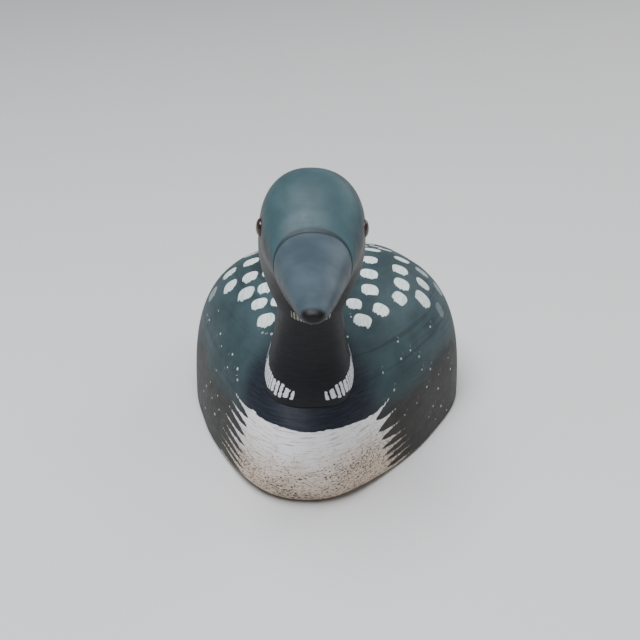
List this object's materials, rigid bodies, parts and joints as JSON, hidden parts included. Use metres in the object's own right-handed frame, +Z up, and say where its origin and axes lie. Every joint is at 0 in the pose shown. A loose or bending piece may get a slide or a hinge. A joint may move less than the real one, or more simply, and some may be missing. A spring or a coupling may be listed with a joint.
{
  "type": "loon decoy",
  "caption": "Small carved and painted wooden loon decoy, flat underneath, with a striped white necklace, white breast, dabbed dark back and dark glass eyes.",
  "frame": {"origin": "middle of the bird's bounding box, on the ground it stands on", "axes": "+Z up, the bill points towards -Y, the bird's own left side is +X"},
  "size_m": [0.112, 0.2446, 0.1277],
  "materials": {
    "body_paint": "satin oil paint on carved softwood: dark blue-grey back, white breast, white dabs and dots",
    "head_paint": "satin oil paint on carved softwood: blue-grey head, near-black neck, striped white necklace",
    "eye_glass": "glossy dark brown glass, opaque to the eye"
  },
  "bodies": {
    "root": {"body": "body_paint", "head_and_neck": "head_paint", "eye_left": "eye_glass", "eye_right": "eye_glass"}
  },
  "joints": []
}
